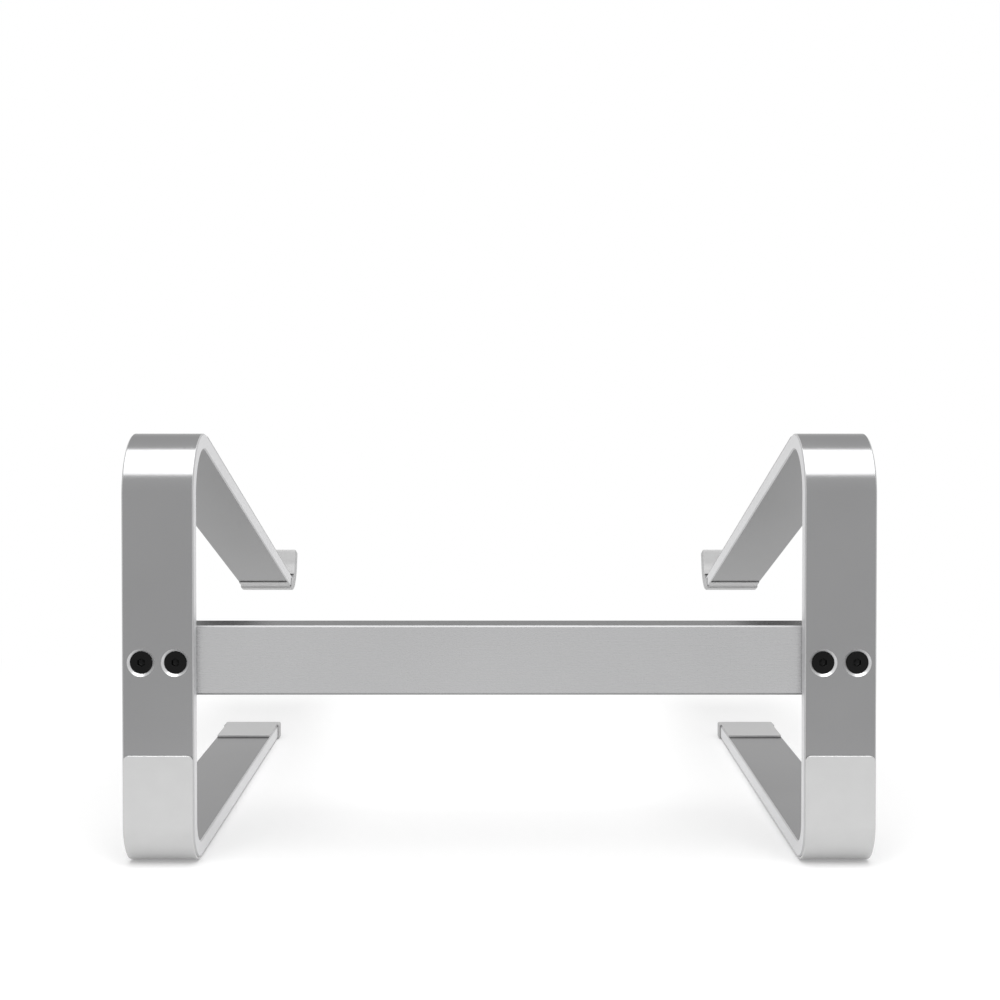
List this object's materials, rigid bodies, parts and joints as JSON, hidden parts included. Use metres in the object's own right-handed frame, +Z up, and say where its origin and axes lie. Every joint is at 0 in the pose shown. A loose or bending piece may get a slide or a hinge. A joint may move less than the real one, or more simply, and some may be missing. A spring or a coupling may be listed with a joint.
{
  "type": "laptop stand",
  "caption": "Aluminium laptop stand: bent flat-bar legs with upturned front lips, joined by a screwed crossbar, with silicone pads.",
  "frame": {"origin": "table level, under the middle of the stand's footprint", "axes": "+Z up, +X to the stand's right, -Y towards the user, where the arms come down to the lips"},
  "size_m": [0.2614, 0.285, 0.15],
  "materials": {
    "aluminium": "satin brushed",
    "silicone": "matte",
    "black_steel": "black oxide"
  },
  "bodies": {
    "root": {"crossbar": "aluminium", "leg_right": "aluminium", "heel_pad_right": "silicone", "toe_cap_right": "silicone", "hook_sleeve_right": "silicone", "arm_pad_right": "silicone", "screw_right_inner": "black_steel", "screw_right_outer": "black_steel", "leg_left": "aluminium", "heel_pad_left": "silicone", "toe_cap_left": "silicone", "hook_sleeve_left": "silicone", "arm_pad_left": "silicone", "screw_left_inner": "black_steel", "screw_left_outer": "black_steel"}
  },
  "joints": []
}
